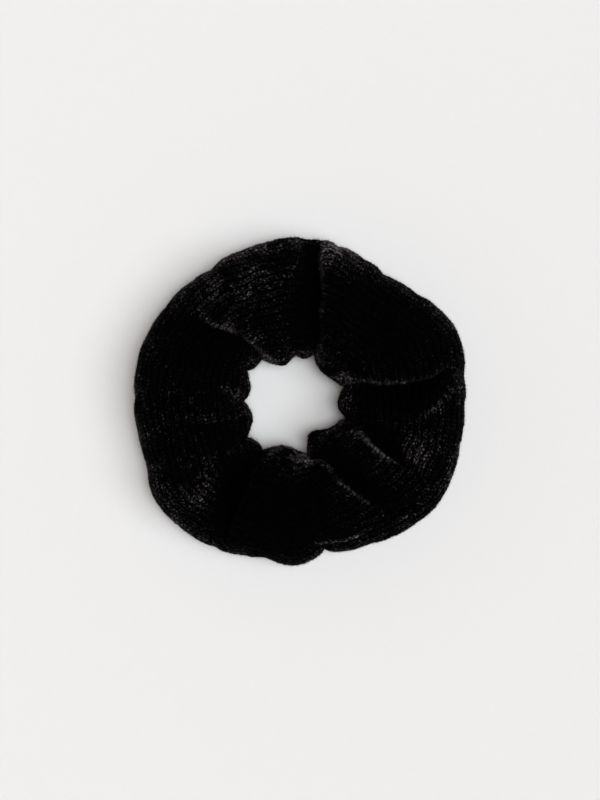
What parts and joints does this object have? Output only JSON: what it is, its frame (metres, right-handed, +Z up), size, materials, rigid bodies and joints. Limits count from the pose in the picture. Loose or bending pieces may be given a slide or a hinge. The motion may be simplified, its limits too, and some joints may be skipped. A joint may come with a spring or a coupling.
{
  "type": "scrunchie",
  "caption": "Gathered ribbed-velvet hair scrunchie: a soft cloth tube over a loop of flat elastic that stretches open and springs back to hold a ponytail.",
  "frame": {"origin": "on the surface the ring lies on, under the middle of the ring's bounding box", "axes": "+Z up out of the lying ring, along the way hair goes through it; +X towards the side that the elastic is stretched to; +Y away from the viewer of a plan drawing"},
  "size_m": [0.1103, 0.1084, 0.026],
  "materials": {
    "cover_cloth": "black rib-knit chenille with a short velvety pile",
    "elastic_webbing": "black woven elastic",
    "sewing_thread": "black spun polyester"
  },
  "bodies": {
    "left_side": {"cover_left_half": "cover_cloth", "elastic_band": "elastic_webbing", "long_seam_needle_thread": "sewing_thread", "long_seam_looper_thread": "sewing_thread", "closing_seam_needle_thread": "sewing_thread", "closing_seam_bobbin_thread": "sewing_thread"},
    "right_side": {"cover_right_half": "cover_cloth", "elastic_join_needle_thread": "sewing_thread", "elastic_join_bobbin_thread": "sewing_thread"}
  },
  "joints": [
    {"name": "stretch", "type": "slide", "parent": "left_side", "child": "right_side", "axis": [1, 0, 0], "range_m": [0, 0.06], "stiffness_N_per_m": 100, "deforming": ["elastic_band", "long_seam_needle_thread", "long_seam_looper_thread", "closing_seam_needle_thread", "closing_seam_bobbin_thread"]}
  ]
}
